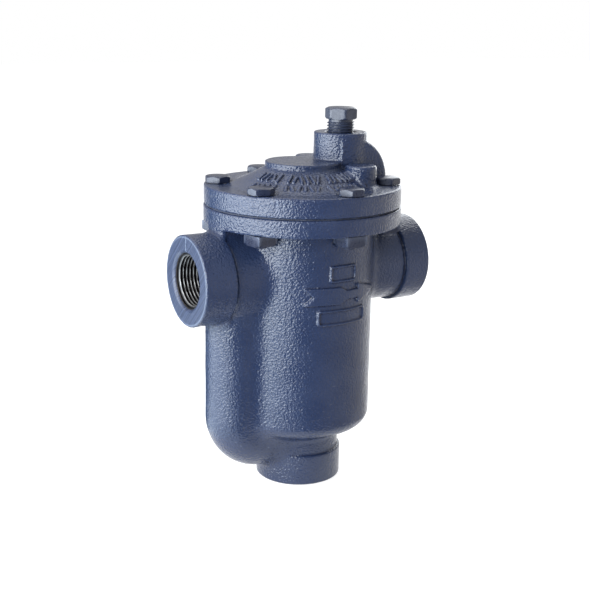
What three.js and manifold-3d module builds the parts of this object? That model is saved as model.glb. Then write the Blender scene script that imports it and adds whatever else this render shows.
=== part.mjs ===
// Inverted-bucket steam trap: a cast cup with side ports, a bolted cap, and the bucket,
// lever and valve inside it. Millimetres, +Z up. The origin is the centre of the bottom
// boss's face, and +X is the direction of flow.
import * as THREE from 'three';
import { mergeVertices } from 'three/addons/utils/BufferGeometryUtils.js';
import Module from 'manifold-3d';

const wasm = await Module();
wasm.setup();

// ---- Driving dimensions -------------------------------------------------------------
const GAP = 0.3; // running gap between a piece and the hole that holds it
const FACE_GAP = 0.1; // gap between two flat faces that are bolted together

const FACE_TO_FACE = 127; // inlet face to outlet face
const PORT_Z = 108; // height of both ports' axis
const CAP_FLANGE_R = 48.3;
const BODY_FLANGE_R = 48.5;
const BODY_R = 35.5;
const FLANGE_UNDERSIDE_Z = 132;
const JOINT_Z = 140.9; // middle of the cap gasket
const GASKET_THICKNESS = 0.6;
const CAP_FLANGE_TOP_Z = 150.5;
const CHAMBER_R = 29.5;
const CHAMBER_FLOOR_Z = 29;

const PORT_COLLAR_R = 22;
const PORT_NECK_R = 20.4;
const PORT_FACE_R = 21.4;
const PORT_BORE_R = 12.3;
const PORT_COLLAR_LENGTH = 13.7;
const PORT_COUNTERSINK = 2;

const BOSS_R = 21.5;
const BOSS_HEIGHT = 15.2;
const RIB_R = 15; // rib over the inlet passage
const RIB_X = -36.8;
const RIB_BEND_R = 13.4;
const RIB_FLOOR_Z = 23.6; // axis of the rib where it runs under the cup
const INLET_PASSAGE_R = 6.5;
const OUTLET_PASSAGE_R = 3.6;
const OUTLET_PASSAGE_X = 36.5;

const BOLT_COUNT = 6;
const BOLT_PATTERN_DEG = 31.2; // the first bolt's angle from the outlet's axis
const BOLT_CIRCLE_R = 41.5;
const BOLT_R = 3.15;
const BOLT_HEAD_FLATS = 11.5;
const BOLT_HEAD_HEIGHT = 3.2;
const NUT_FLATS = 11.1; // square nuts
const NUT_HEIGHT = 5.1;
const HEAD_TURNS_DEG = [22, 47, 11, -20, 0, 17]; // how far each tightened head has turned
const NUT_TURNS_DEG = [22, 47, 72, 56, 47, 32];

const PAD_R = 18.5;
const PAD_TOP_Z = 161.4;
const LUG_R = 7.4; // the two lugs beside the test boss
const LUG_CIRCLE_R = 29.1;
const LUG_ANGLES_DEG = [51.5, -46.7]; // the cap sits turned 2.4 degrees on the body
const LUG_TOP_Z = 160.8;
const TEST_X = 21.5; // axis of the test boss, the plug, the seat and the valve
const TEST_BOSS_R = 13.2;
const TEST_BOSS_TOP_Z = 174.7;
const PLUG_R = 6.8;
const PLUG_HEAD_FLATS = 14.2;
const PLUG_HEAD_Z = 180.9;
const PLUG_TOP_Z = 186.6;
const PLUG_BOTTOM_Z = 165;
const PLUG_TURN_DEG = -46.6;

const PIVOT_X = 26; // lever pivot, between the guide pins
const PIN_Y = 5; // each guide pin's distance from the middle plane
const PIN_R = 1.1;
const PIVOT_Z = 134;
const LEVER_HALF_SWING = THREE.MathUtils.degToRad(8);
const LEVER_THICKNESS = 1.5;
const SEAT_TIP_Z = 139.7;
const SEAT_SHANK_R = 4.2;
const SEAT_ORIFICE_R = 1.6;
const BUCKET_R = 25.5;
const BUCKET_WALL = 1.2;
const BUCKET_MOUTH_Z = 46;
const INLET_TUBE_R = 6.2;
const INLET_TUBE_BORE_R = 5;
const INLET_TUBE_FOOT_Z = 24;
const INLET_TUBE_TOP_Z = 64;
const BUCKET_TOP_Z = 112; // at rest, with the bucket down and the valve open

// ---- Materials ----------------------------------------------------------------------
function material(color, roughness, metalness) {
  return new THREE.MeshStandardMaterial({ color, roughness, metalness });
}
const bluePaint = material(0x46557a, 0.42, 0.25);
const graphite = material(0x23252b, 0.85, 0);
const stainless = material(0xb4b6b8, 0.32, 1);

// ---- Helpers ------------------------------------------------------------------------
// Points of an elliptical arc in (radius, height), angles in degrees from the +r axis.
function arc(centreR, centreZ, radiusR, radiusZ, fromDeg, toDeg, steps) {
  const points = [];
  for (let i = 0; i <= steps; i += 1) {
    const a = THREE.MathUtils.degToRad(fromDeg + ((toDeg - fromDeg) * i) / steps);
    points.push([centreR + radiusR * Math.cos(a), centreZ + radiusZ * Math.sin(a)]);
  }
  return points;
}

// A solid of revolution about +Z from (radius, height) points that run upwards.
function lathe(profile, segments = 48) {
  const points = profile.map(([r, z]) => new THREE.Vector2(r, z));
  return new THREE.LatheGeometry(points, segments).rotateX(Math.PI / 2);
}

function cylinder(radius, bottomZ, topZ, segments = 32) {
  return lathe([[0, bottomZ], [radius, bottomZ], [radius, topZ], [0, topZ]], segments);
}

function box(sizeX, sizeY, sizeZ, x, y, z) {
  return new THREE.BoxGeometry(sizeX, sizeY, sizeZ).translate(x, y, z);
}

function polygon(points) {
  return new THREE.Shape(points.map(([x, y]) => new THREE.Vector2(x, y)));
}

// A prism along +Z of a closed outline in X and Y.
function prism(shape, bottomZ, topZ) {
  const options = { depth: topZ - bottomZ, bevelEnabled: false };
  return new THREE.ExtrudeGeometry(shape, options).translate(0, 0, bottomZ);
}

function cornerRadius(sides, acrossFlats) {
  return acrossFlats / 2 / Math.cos(Math.PI / sides);
}

// A regular polygon whose first corner points along +X.
function wrenchOutline(sides, acrossFlats) {
  const cornerR = cornerRadius(sides, acrossFlats);
  const corners = [];
  for (let i = 0; i < sides; i += 1) {
    const a = (i * 2 * Math.PI) / sides;
    corners.push([cornerR * Math.cos(a), cornerR * Math.sin(a)]);
  }
  return polygon(corners);
}

// A round bar along points in the X-Z plane.
function barAlong(points, radius, steps) {
  const path = new THREE.CatmullRomCurve3(points.map(([x, z]) => new THREE.Vector3(x, 0, z)));
  const section = new THREE.Shape().absarc(0, 0, radius, 0, Math.PI * 2);
  const options = { extrudePath: path, steps, curveSegments: 7, bevelEnabled: false };
  return new THREE.ExtrudeGeometry(section, options);
}

function solid(geometry) {
  const bare = geometry.clone();
  bare.deleteAttribute('normal');
  bare.deleteAttribute('uv');
  const merged = mergeVertices(bare, 1e-4);
  return new wasm.Manifold(new wasm.Mesh({
    numProp: 3,
    vertProperties: Float32Array.from(merged.attributes.position.array),
    triVerts: Uint32Array.from(merged.index.array),
  }));
}

function joined(geometries) {
  return geometries.map(solid).reduce((a, b) => a.add(b));
}

function geometryOf(manifold) {
  const { vertProperties, triVerts } = manifold.getMesh();
  const geometry = new THREE.BufferGeometry();
  geometry.setAttribute('position', new THREE.BufferAttribute(vertProperties, 3));
  geometry.setIndex(new THREE.BufferAttribute(triVerts, 1));
  geometry.computeVertexNormals();
  return geometry;
}

const trap = new THREE.Group();

function addNode(name, geometry, look, parent = trap) {
  const mesh = new THREE.Mesh(geometry, look);
  mesh.name = name;
  parent.add(mesh);
  return mesh;
}

function boltPlaces() {
  const places = [];
  for (let i = 0; i < BOLT_COUNT; i += 1) {
    const angle = THREE.MathUtils.degToRad(BOLT_PATTERN_DEG) + (i * 2 * Math.PI) / BOLT_COUNT;
    places.push({ x: BOLT_CIRCLE_R * Math.cos(angle), y: BOLT_CIRCLE_R * Math.sin(angle) });
  }
  return places;
}

// ---- Body ---------------------------------------------------------------------------
const bodyTopZ = JOINT_Z - GASKET_THICKNESS / 2 - FACE_GAP;
const ribBendX = RIB_X + RIB_BEND_R;
const ribBendZ = RIB_FLOOR_Z + RIB_BEND_R;

function cupOutside() {
  const neckR = 20.1;
  const neckTopZ = 23.8;
  const slopeTopZ = 30.3;
  const corner = 2.5;
  const step = 0.8;
  const fillet = 1.5;
  return lathe([
    [0, 0], [BOSS_R, 0], [BOSS_R, BOSS_HEIGHT], [neckR, BOSS_HEIGHT + step], [neckR, neckTopZ],
    [BODY_R - corner, slopeTopZ], [BODY_R - corner / 4, slopeTopZ + corner / 2],
    [BODY_R, slopeTopZ + 1.5 * corner],
    [BODY_R, FLANGE_UNDERSIDE_Z - fillet], [BODY_R + fillet, FLANGE_UNDERSIDE_Z],
    [BODY_FLANGE_R, FLANGE_UNDERSIDE_Z], [BODY_FLANGE_R, bodyTopZ], [0, bodyTopZ],
  ]);
}

// A port's collar and neck along +X, its face at half the face-to-face length.
function portOutside() {
  const face = FACE_TO_FACE / 2;
  const collarEnd = face - PORT_COLLAR_LENGTH;
  const edge = PORT_COLLAR_R - PORT_FACE_R;
  const rootX = 18; // well inside the cup's wall
  const chamfer = 1.2;
  return lathe([
    [0, rootX], [PORT_NECK_R, rootX], [PORT_NECK_R, collarEnd],
    [PORT_COLLAR_R, collarEnd + chamfer],
    [PORT_COLLAR_R, face - edge], [PORT_FACE_R, face],
    [0, face],
  ], 32).rotateY(Math.PI / 2).translate(0, 0, PORT_Z);
}

// The bore from the port's face, countersunk, down to a cone at its inner end.
function portBore(endX, endR) {
  const face = FACE_TO_FACE / 2;
  const coneLength = 8;
  const mouthR = PORT_BORE_R + PORT_COUNTERSINK;
  return lathe([
    [0, endX], [endR, endX], [PORT_BORE_R, endX + coneLength],
    [PORT_BORE_R, face - PORT_COUNTERSINK], [mouthR, face], [mouthR, face + 1], [0, face + 1],
  ], 24).rotateY(Math.PI / 2).translate(0, 0, PORT_Z);
}

// The web that fills the corner between a port and the flange.
function portWeb() {
  const height = 6;
  const overlap = 0.4; // how far it reaches into the flange
  return box(20, 13, height, 38, 0, FLANGE_UNDERSIDE_Z + overlap - height / 2);
}

// The half-round rib over the inlet passage: down the cup's side, round a bend and in
// under the cup. The bend is a solid of revolution about the bend's own axis.
function ribOutside() {
  const start = THREE.MathUtils.radToDeg(Math.acos(-RIB_BEND_R / RIB_R));
  const bend = lathe(arc(RIB_BEND_R, 0, RIB_R, RIB_R, -start, start, 10)
    .map(([r, z]) => [Math.max(r, 0), z]), 32)
    .rotateX(Math.PI / 2).translate(ribBendX, 0, ribBendZ);
  const upright = cylinder(RIB_R, ribBendZ, PORT_Z, 28).translate(RIB_X, 0, 0);
  const underCup = cylinder(RIB_R, 0, -ribBendX, 28)
    .rotateY(Math.PI / 2).translate(ribBendX, 0, RIB_FLOOR_Z);
  return joined([upright, bend, underCup]);
}

function inletPassage() {
  const wall = 4.3;
  const bendR = RIB_BEND_R + RIB_R - wall - INLET_PASSAGE_R;
  const x = ribBendX - bendR;
  const z = ribBendZ - bendR;
  const bend = arc(ribBendX, ribBendZ, bendR, bendR, 180, 270, 8);
  const run = barAlong([[x, PORT_Z], [x, 80], [x, 55], ...bend, [-12, z], [0, z]],
    INLET_PASSAGE_R, 20);
  const riser = cylinder(INLET_PASSAGE_R, z, CHAMBER_FLOOR_Z + 2, 20);
  const corner = new THREE.SphereGeometry(INLET_PASSAGE_R, 14, 8).translate(0, 0, z);
  return joined([run, riser, corner]);
}

function chamber() {
  const floorR = 18;
  const roundZ = 11;
  return lathe([
    [0, CHAMBER_FLOOR_Z], [floorR, CHAMBER_FLOOR_Z],
    ...arc(floorR, CHAMBER_FLOOR_Z + roundZ, CHAMBER_R - floorR, roundZ, -70, 0, 3),
    [CHAMBER_R, bodyTopZ + 1], [0, bodyTopZ + 1],
  ], 32);
}

// Hole for the bolt, and a pocket in the cup's side that clears the nut.
function bodyBoltCut({ x, y }) {
  const pocketR = cornerRadius(4, NUT_FLATS) + GAP;
  const boltRoom = 3;
  const pocketBottomZ = FLANGE_UNDERSIDE_Z - NUT_HEIGHT - GAP;
  return joined([
    cylinder(BOLT_R + GAP, pocketBottomZ - boltRoom, bodyTopZ + 1, 12).translate(x, y, 0),
    cylinder(pocketR, pocketBottomZ, FLANGE_UNDERSIDE_Z, 16).translate(x, y, 0),
  ]);
}

// The raised flow arrow on the front of the cup: an outline seen along the arrow's own
// radial direction, standing proud of the wall. Its u runs with the flow, v up.
function flowArrow() {
  const proud = 0.8;
  const buried = 1.5;
  const middle = THREE.MathUtils.degToRad(-81.6);
  const centreZ = 101.7;
  const halfBand = 14;
  const outline = polygon([
    [-22.2, 4.2], [-18.4, 0], [-22.2, -4.2], [-5, -4.2], [-2.2, -2.2], [5.6, -2.2],
    [5.6, -4.8], [21, 0.4], [5.6, 4.8], [5.6, 2.2], [-2.2, 2.2], [-5, 4.2],
  ]);
  const plate = prism(outline, 20, 40)
    .rotateX(Math.PI / 2).rotateZ(middle + Math.PI / 2).translate(0, 0, centreZ);
  const shell = lathe([
    [BODY_R - buried, centreZ - halfBand], [BODY_R + proud, centreZ - halfBand],
    [BODY_R + proud, centreZ + halfBand], [BODY_R - buried, centreZ + halfBand],
    [BODY_R - buried, centreZ - halfBand],
  ]);
  return solid(plate).intersect(solid(shell));
}

function body() {
  const half = Math.PI;
  const outside = joined([
    cupOutside(), portOutside(), portOutside().rotateZ(half), portWeb(), portWeb().rotateZ(half),
  ]).add(ribOutside()).add(flowArrow());
  const outletRiser = cylinder(OUTLET_PASSAGE_R, PORT_Z, bodyTopZ + 1, 16)
    .translate(OUTLET_PASSAGE_X, 0, 0);
  const outletBoreEnd = { x: 34, r: 5 };
  const inletBoreEnd = { x: 38, r: INLET_PASSAGE_R };
  const inside = joined([
    chamber(), outletRiser, portBore(outletBoreEnd.x, outletBoreEnd.r),
    portBore(inletBoreEnd.x, inletBoreEnd.r).rotateZ(half),
  ]).add(inletPassage());
  const drilled = boltPlaces().reduce((cup, place) => cup.subtract(bodyBoltCut(place)), outside);
  return geometryOf(drilled.subtract(inside));
}

// ---- Cap ----------------------------------------------------------------------------
const capBottomZ = JOINT_Z + GASKET_THICKNESS / 2 + FACE_GAP;

function capDome() {
  const edge = 0.8;
  const padEdge = 0.4;
  const slopeFoot = [32.4, CAP_FLANGE_TOP_Z + 0.7];
  const slopeHead = [PAD_R + 1.2, PAD_TOP_Z - 3.6];
  return lathe([
    [0, capBottomZ], [CAP_FLANGE_R, capBottomZ], [CAP_FLANGE_R, CAP_FLANGE_TOP_Z - edge],
    [CAP_FLANGE_R - edge, CAP_FLANGE_TOP_Z], [35.2, CAP_FLANGE_TOP_Z], slopeFoot, slopeHead,
    [PAD_R, PAD_TOP_Z - 2.4], [PAD_R, PAD_TOP_Z - padEdge], [PAD_R - padEdge, PAD_TOP_Z],
    [0, PAD_TOP_Z],
  ]);
}

// The rounded outlet elbow on the downstream side of the test boss.
function elbowHump() {
  const radius = 19.6;
  const centreX = TEST_X + 1.5;
  const centreZ = 152.4;
  const halfWidth = 12;
  const base = -7.4; // below the arc's centre
  const back = -6;
  const outline = polygon([
    [back, base], [radius - 1, base], ...arc(0, 0, radius, radius, 0, 90, 8), [back, radius],
  ]);
  return prism(outline, -halfWidth, halfWidth)
    .rotateX(Math.PI / 2).translate(centreX, 0, centreZ);
}

function lug(angleDeg) {
  return cylinder(LUG_R, CAP_FLANGE_TOP_Z - 3, LUG_TOP_Z, 20)
    .translate(LUG_CIRCLE_R, 0, 0).rotateZ(THREE.MathUtils.degToRad(angleDeg));
}

function capHollow() {
  const roofZ = 150.5;
  const wallTop = capBottomZ + 1.5;
  return lathe([
    [0, capBottomZ - 1], [CHAMBER_R, capBottomZ - 1], [CHAMBER_R, wallTop],
    [26, 147], [17, roofZ], [0, roofZ],
  ], 32);
}

// The way from above the seat, over the elbow and down to the body's outlet passage.
function elbowPassage() {
  const bendR = 10.5;
  const centreX = OUTLET_PASSAGE_X - bendR;
  const centreZ = 144.5;
  const bend = arc(centreX, centreZ, bendR, bendR, 90, 0, 8);
  return barAlong([[TEST_X, centreZ + bendR], ...bend, [OUTLET_PASSAGE_X, capBottomZ - 1]],
    OUTLET_PASSAGE_R, 14);
}

function capBoltCut({ x, y }) {
  const spotR = cornerRadius(6, BOLT_HEAD_FLATS) + GAP;
  const room = 12; // clear height above the spot face
  return joined([
    cylinder(BOLT_R + GAP, capBottomZ - 1, CAP_FLANGE_TOP_Z + 1, 12).translate(x, y, 0),
    cylinder(spotR, CAP_FLANGE_TOP_Z, CAP_FLANGE_TOP_Z + room, 16).translate(x, y, 0),
  ]);
}

function cap() {
  const seatBossBottomZ = 143.5;
  const seatBoreTopZ = 149.5;
  const drillR = 4.6; // the hole between the seat and the test plug
  const pinHoleTopZ = 149;
  const seatBoss = cylinder(9, seatBossBottomZ, 152, 20).translate(TEST_X, 0, 0);
  const testBoss = cylinder(TEST_BOSS_R, CAP_FLANGE_TOP_Z, TEST_BOSS_TOP_Z, 36)
    .translate(TEST_X, 0, 0);
  const outside = joined([capDome(), elbowHump(), testBoss, ...LUG_ANGLES_DEG.map(lug)]);
  const seatBore = cylinder(SEAT_SHANK_R + GAP, capBottomZ, seatBoreTopZ, 16)
    .translate(TEST_X, 0, 0);
  const testBore = lathe([
    [0, seatBoreTopZ - 0.5], [drillR, seatBoreTopZ - 0.5], [drillR, PLUG_BOTTOM_Z - 2],
    [PLUG_R + GAP, PLUG_BOTTOM_Z - 1], [PLUG_R + GAP, TEST_BOSS_TOP_Z + 1],
    [0, TEST_BOSS_TOP_Z + 1],
  ], 24).translate(TEST_X, 0, 0);
  const pinHoles = [1, -1].map((side) => cylinder(PIN_R + GAP, capBottomZ - 2, pinHoleTopZ, 12)
    .translate(PIVOT_X, side * PIN_Y, 0));
  const hollow = solid(capHollow()).subtract(solid(seatBoss));
  const inside = joined([seatBore, testBore, elbowPassage(), ...pinHoles]).add(hollow);
  const drilled = boltPlaces().reduce((cover, place) => cover.subtract(capBoltCut(place)), outside);
  return geometryOf(drilled.subtract(inside));
}

// ---- Gasket, bolts and nuts ---------------------------------------------------------
function gasket() {
  const bottomZ = JOINT_Z - GASKET_THICKNESS / 2;
  const topZ = JOINT_Z + GASKET_THICKNESS / 2;
  const sheet = new THREE.Shape().absarc(0, 0, CAP_FLANGE_R - 0.3, 0, Math.PI * 2);
  sheet.holes.push(new THREE.Path().absarc(0, 0, CHAMBER_R + 0.5, 0, Math.PI * 2));
  const holes = boltPlaces().map(({ x, y }) => ({ x, y, r: BOLT_R + GAP }));
  holes.push({ x: OUTLET_PASSAGE_X, y: 0, r: OUTLET_PASSAGE_R + GAP });
  holes.forEach(({ x, y, r }) => sheet.holes.push(new THREE.Path().absarc(x, y, r, 0, Math.PI * 2)));
  const options = { depth: topZ - bottomZ, bevelEnabled: false, curveSegments: 12 };
  return new THREE.ExtrudeGeometry(sheet, options).translate(0, 0, bottomZ);
}

// A head or nut with its corners turned down at the end or ends.
function turnedHead(sides, acrossFlats, bottomZ, topZ, bottomTurned, topTurned) {
  const drop = 0.8;
  const cornerR = cornerRadius(sides, acrossFlats);
  const turnedR = cornerR - 1.5 * drop;
  const bottom = bottomTurned ? [[turnedR, bottomZ], [cornerR, bottomZ + drop]] : [[cornerR, bottomZ]];
  const top = topTurned ? [[cornerR, topZ - drop], [turnedR, topZ]] : [[cornerR, topZ]];
  const turned = lathe([[0, bottomZ], ...bottom, ...top, [0, topZ]], 24);
  return solid(prism(wrenchOutline(sides, acrossFlats), bottomZ, topZ)).intersect(solid(turned));
}

function boltGeometry() {
  const bottomZ = CAP_FLANGE_TOP_Z + FACE_GAP;
  const topZ = bottomZ + BOLT_HEAD_HEIGHT;
  const pastNut = 1.2;
  const shankEndZ = FLANGE_UNDERSIDE_Z - NUT_HEIGHT - pastNut;
  const head = turnedHead(6, BOLT_HEAD_FLATS, bottomZ, topZ, false, true);
  return geometryOf(head.add(solid(cylinder(BOLT_R, shankEndZ, bottomZ + 1, 16))));
}

function nutGeometry() {
  const topZ = FLANGE_UNDERSIDE_Z - FACE_GAP;
  const bottomZ = topZ - NUT_HEIGHT;
  const blank = turnedHead(4, NUT_FLATS, bottomZ, topZ, true, false);
  return geometryOf(blank.subtract(solid(cylinder(BOLT_R + GAP, bottomZ - 1, topZ + 1, 16))));
}

// ---- Test plug ----------------------------------------------------------------------
// A hexagon head on a threaded shank, whose thread is drawn as closed rings.
function testPlug() {
  const pitch = 1.41;
  const rootR = PLUG_R - 0.75;
  const firstRootZ = PLUG_BOTTOM_Z + 0.4;
  const profile = [[0, PLUG_BOTTOM_Z], [rootR, PLUG_BOTTOM_Z]];
  for (let z = firstRootZ; z < PLUG_HEAD_Z - pitch; z += pitch) {
    profile.push([PLUG_R, z + pitch / 2], [rootR, z + pitch]);
  }
  profile.push([rootR, PLUG_HEAD_Z + 1], [0, PLUG_HEAD_Z + 1]);
  const head = turnedHead(6, PLUG_HEAD_FLATS, PLUG_HEAD_Z, PLUG_TOP_Z, true, true);
  return geometryOf(head.add(solid(lathe(profile, 16))));
}

// ---- Valve, seat, lever and guide pins ----------------------------------------------
// The seat: a hexagon below the cap, a shank in the seat boss, and the orifice through it.
function valveSeat() {
  const flats = 9;
  const shoulderZ = 143.2;
  const shankTopZ = 148.6;
  const hex = turnedHead(6, flats, SEAT_TIP_Z, shoulderZ, true, false);
  const shank = solid(cylinder(SEAT_SHANK_R, shoulderZ - 1, shankTopZ, 24));
  const orifice = solid(cylinder(SEAT_ORIFICE_R, SEAT_TIP_Z - 1, shankTopZ + 1, 16));
  return geometryOf(hex.add(shank).subtract(orifice));
}

// Lever geometry is drawn level about the pivot, then tipped down by half its swing.
function leverPlate() {
  const tipX = -PIVOT_X - 1.6;
  const half = LEVER_THICKNESS / 2;
  const armY = 4; // half-widths of the arm and of the heel around the pins
  const heelY = 7.4;
  const taper = { heelX: -3.2, armX: -9.5 };
  const plate = polygon([
    [2, -heelY], [2, heelY], [taper.heelX, heelY], [taper.armX, armY], [tipX, armY],
    [tipX, -armY], [taper.armX, -armY], [taper.heelX, -heelY],
  ]);
  const lipDepth = 3.4;
  const lip = box(LEVER_THICKNESS, 2 * armY, lipDepth, tipX - 0.6, 0, half - lipDepth / 2);
  const slot = 2 * PIN_R + 1.4;
  const slots = [1, -1].map((side) => box(slot, slot, 4, 0, side * PIN_Y, 0));
  const flat = joined([prism(plate, -half, half), lip]);
  return geometryOf(slots.reduce((lever, hole) => lever.subtract(solid(hole)), flat));
}

// The valve: a retainer button with a ball nose, riveted on top of the lever.
function valveHead() {
  const foot = LEVER_THICKNESS / 2 + FACE_GAP;
  const buttonR = 3.4;
  const buttonTop = foot + 1.4;
  const ballR = 2.6;
  return lathe([
    [0, foot], [buttonR, foot], [buttonR, buttonTop],
    ...arc(0, buttonTop - 0.2, ballR, ballR, 10, 90, 4),
  ].map(([r, z]) => [Math.max(r, 0), z]), 16).translate(TEST_X - PIVOT_X, 0, 0);
}

function guidePin() {
  const headR = 2.2;
  const headBottomZ = 129;
  const headTopZ = 130.2;
  const topZ = 148;
  return lathe([
    [0, headBottomZ], [headR, headBottomZ], [headR, headTopZ], [PIN_R, headTopZ],
    [PIN_R, topZ], [0, topZ],
  ], 16);
}

// ---- Bucket, clip and inlet tube ----------------------------------------------------
function bucket() {
  const crownR = 4;
  const inner = BUCKET_R - BUCKET_WALL;
  const shell = lathe([
    [inner, BUCKET_MOUTH_Z], [BUCKET_R, BUCKET_MOUTH_Z],
    ...arc(BUCKET_R - crownR, BUCKET_TOP_Z - crownR, crownR, crownR, 0, 90, 3),
    [0, BUCKET_TOP_Z], [0, BUCKET_TOP_Z - BUCKET_WALL],
    ...arc(inner - crownR, BUCKET_TOP_Z - BUCKET_WALL - crownR, crownR, crownR, 90, 0, 3),
    [inner, BUCKET_MOUTH_Z],
  ], 32);
  const ventX = -13;
  const vent = cylinder(1.2, BUCKET_TOP_Z - 4, BUCKET_TOP_Z + 2, 12).translate(ventX, 0, 0);
  return geometryOf(solid(shell).subtract(solid(vent)));
}

// A flat loop that stands on the bucket's crown and hangs on the lever's tip.
function bucketClip() {
  const leverTipZ = PIVOT_Z - PIVOT_X * Math.sin(LEVER_HALF_SWING);
  const bottomZ = BUCKET_TOP_Z + FACE_GAP;
  const topZ = leverTipZ + 4.6;
  const thickness = 1.2;
  const width = 14;
  const windowWidth = 10;
  const windowHeight = 5;
  const footLength = 8;
  const frame = box(thickness, width, topZ - bottomZ, 0, 0, (topZ + bottomZ) / 2);
  const window = box(thickness + 2, windowWidth, windowHeight, 0, 0, leverTipZ);
  const foot = box(footLength, width, thickness, (footLength - thickness) / 2, 0,
    bottomZ + thickness / 2);
  return geometryOf(joined([frame, foot]).subtract(solid(window)));
}

function inletTube() {
  return lathe([
    [INLET_TUBE_BORE_R, INLET_TUBE_FOOT_Z], [INLET_TUBE_R, INLET_TUBE_FOOT_Z],
    [INLET_TUBE_R, INLET_TUBE_TOP_Z], [INLET_TUBE_BORE_R, INLET_TUBE_TOP_Z],
    [INLET_TUBE_BORE_R, INLET_TUBE_FOOT_Z],
  ], 20);
}

// ---- Assembly -----------------------------------------------------------------------
addNode('body', body(), bluePaint);
addNode('cap', cap(), bluePaint);
addNode('cap_gasket', gasket(), graphite);

const bolt = boltGeometry();
const nut = nutGeometry();
boltPlaces().forEach(({ x, y }, i) => {
  const screw = addNode(`cap_bolt_${i + 1}`, bolt, bluePaint);
  screw.position.set(x, y, 0);
  screw.rotation.z = THREE.MathUtils.degToRad(HEAD_TURNS_DEG[i]);
  const lock = addNode(`cap_nut_${i + 1}`, nut, bluePaint);
  lock.position.set(x, y, 0);
  lock.rotation.z = THREE.MathUtils.degToRad(NUT_TURNS_DEG[i]);
});

const plug = addNode('test_plug', testPlug(), bluePaint);
plug.position.x = TEST_X;
plug.rotation.z = THREE.MathUtils.degToRad(PLUG_TURN_DEG);

addNode('valve_seat', valveSeat(), stainless).position.x = TEST_X;

const leverGroup = new THREE.Group();
leverGroup.position.set(PIVOT_X, 0, PIVOT_Z);
leverGroup.rotation.y = -LEVER_HALF_SWING;
trap.add(leverGroup);
addNode('valve_lever', leverPlate(), stainless, leverGroup);
addNode('valve', valveHead(), stainless, leverGroup);

[1, -1].forEach((side, i) => {
  addNode(`guide_pin_${i + 1}`, guidePin(), stainless).position.set(PIVOT_X, side * PIN_Y, 0);
});

addNode('bucket', bucket(), stainless);
addNode('bucket_clip', bucketClip(), stainless);
addNode('inlet_tube', inletTube(), stainless);

export default trap;
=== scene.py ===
"""Looks for the inverted-bucket steam trap: cast cup and cap, fasteners, threads, and the
bucket, lever and valve inside. Shapes are worked out in millimetres, in the CAD's frame, and
written in metres. The castings are signed distance fields, negative inside, that are meshed."""
import math

import bpy
import numpy as np
import openvdb as vdb
from mathutils import Matrix, Vector


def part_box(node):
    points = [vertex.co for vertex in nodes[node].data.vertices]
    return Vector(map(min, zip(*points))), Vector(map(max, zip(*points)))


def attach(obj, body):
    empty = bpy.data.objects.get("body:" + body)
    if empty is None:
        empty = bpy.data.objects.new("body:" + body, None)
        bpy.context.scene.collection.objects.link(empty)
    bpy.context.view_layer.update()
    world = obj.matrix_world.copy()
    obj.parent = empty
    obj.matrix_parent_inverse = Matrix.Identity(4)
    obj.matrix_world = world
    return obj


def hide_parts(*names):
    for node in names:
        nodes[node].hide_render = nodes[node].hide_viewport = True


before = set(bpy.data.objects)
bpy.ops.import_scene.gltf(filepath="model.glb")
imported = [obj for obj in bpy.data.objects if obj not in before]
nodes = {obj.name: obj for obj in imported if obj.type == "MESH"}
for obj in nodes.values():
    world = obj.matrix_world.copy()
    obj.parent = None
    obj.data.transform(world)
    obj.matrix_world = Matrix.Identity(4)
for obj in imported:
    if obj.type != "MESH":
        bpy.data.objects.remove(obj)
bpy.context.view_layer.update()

MM = 0.001


def box_mm(node):
    low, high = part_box(node)
    return np.array(low) / MM, np.array(high) / MM


body_low, body_high = box_mm("body")
cap_low, cap_high = box_mm("cap")
plug_low, plug_high = box_mm("test_plug")

# ---- Dimensions, in millimetres -------------------------------------------------------
FACE_X = float(body_high[0])
CAP_FLANGE_R = float(cap_high[1])
BODY_FLANGE_R = float(body_high[1])
BODY_TOP_Z = float(body_high[2])
CAP_BOTTOM_Z = float(cap_low[2])
TEST_BOSS_TOP_Z = float(cap_high[2])
FLANGE_UNDERSIDE_Z = 132.0
CAP_FLANGE_TOP_Z = 150.5
PORT_Z = 108.0
BODY_R = 35.5
CHAMBER_R = 29.5
CHAMBER_FLOOR_Z = 29.0
COLLAR_R = 22.0
COLLAR_BACK_X = {-1: 47.2, 1: 49.8}  # by side: the inlet's collar is longer
NECK_R = 20.4
PORT_FACE_R = 21.5
COUNTERSINK_R = 14.5
BOLT_PATTERN = math.radians(31.2)
CUP_CORNER_R, CUP_CORNER_Z = 34.0, 30.4
CUP_FLOOR_SLOPE = (0.42, 0.91)  # the sloping floor's normal: outward, and down
INLET_BORE_BEND_R = 17.6
INLET_RISER_TOP_Z = 34.0
OUTLET_INNER_R = 5.0
ARROW_Z = 101.7
ARROW_PROUD = 1.3
FRAME_PROUD = 0.95
RELIEF_TURN = math.radians(8.4)
BLANK_FRAMES = ((-3.4, 112.2, 7.0, 3.6), (-2.6, 91.0, 13.2, 3.3))  # u, z, half sizes
BOSS_R = 21.5
BOSS_TOP_Z = 15.3
BOSS_NECK_R = 20.1
RIB_R = 15.0
RIB_X = -36.8
RIB_BEND_R = 13.4
RIB_FLOOR_Z = 23.6
INLET_PASSAGE_R = 6.5
OUTLET_PASSAGE_R = 3.6
OUTLET_PASSAGE_X = 36.5
BOLT_CIRCLE_R = 41.5
BOLT_HOLE_R = 3.4
NUT_POCKET_R = 8.3
NUT_POCKET_Z = 126.6
BOLT_ROOM_Z = 123.5
PAD_R = 18.5
PAD_TOP_Z = 161.4
LUG_CIRCLE_R = 29.1
LUG_ANGLES = np.radians([51.5, -46.7])
LUG_R = 7.4
LUG_TOP_Z = 160.8
TEST_X = 21.5
TEST_BOSS_R = 13.2
HUMP = (23.0, 152.4, 19.6, 12.0)  # x, z, radius, half-width
HUMP_DEPTH = 8.0
HUMP_ROUNDING = 3.0
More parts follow.
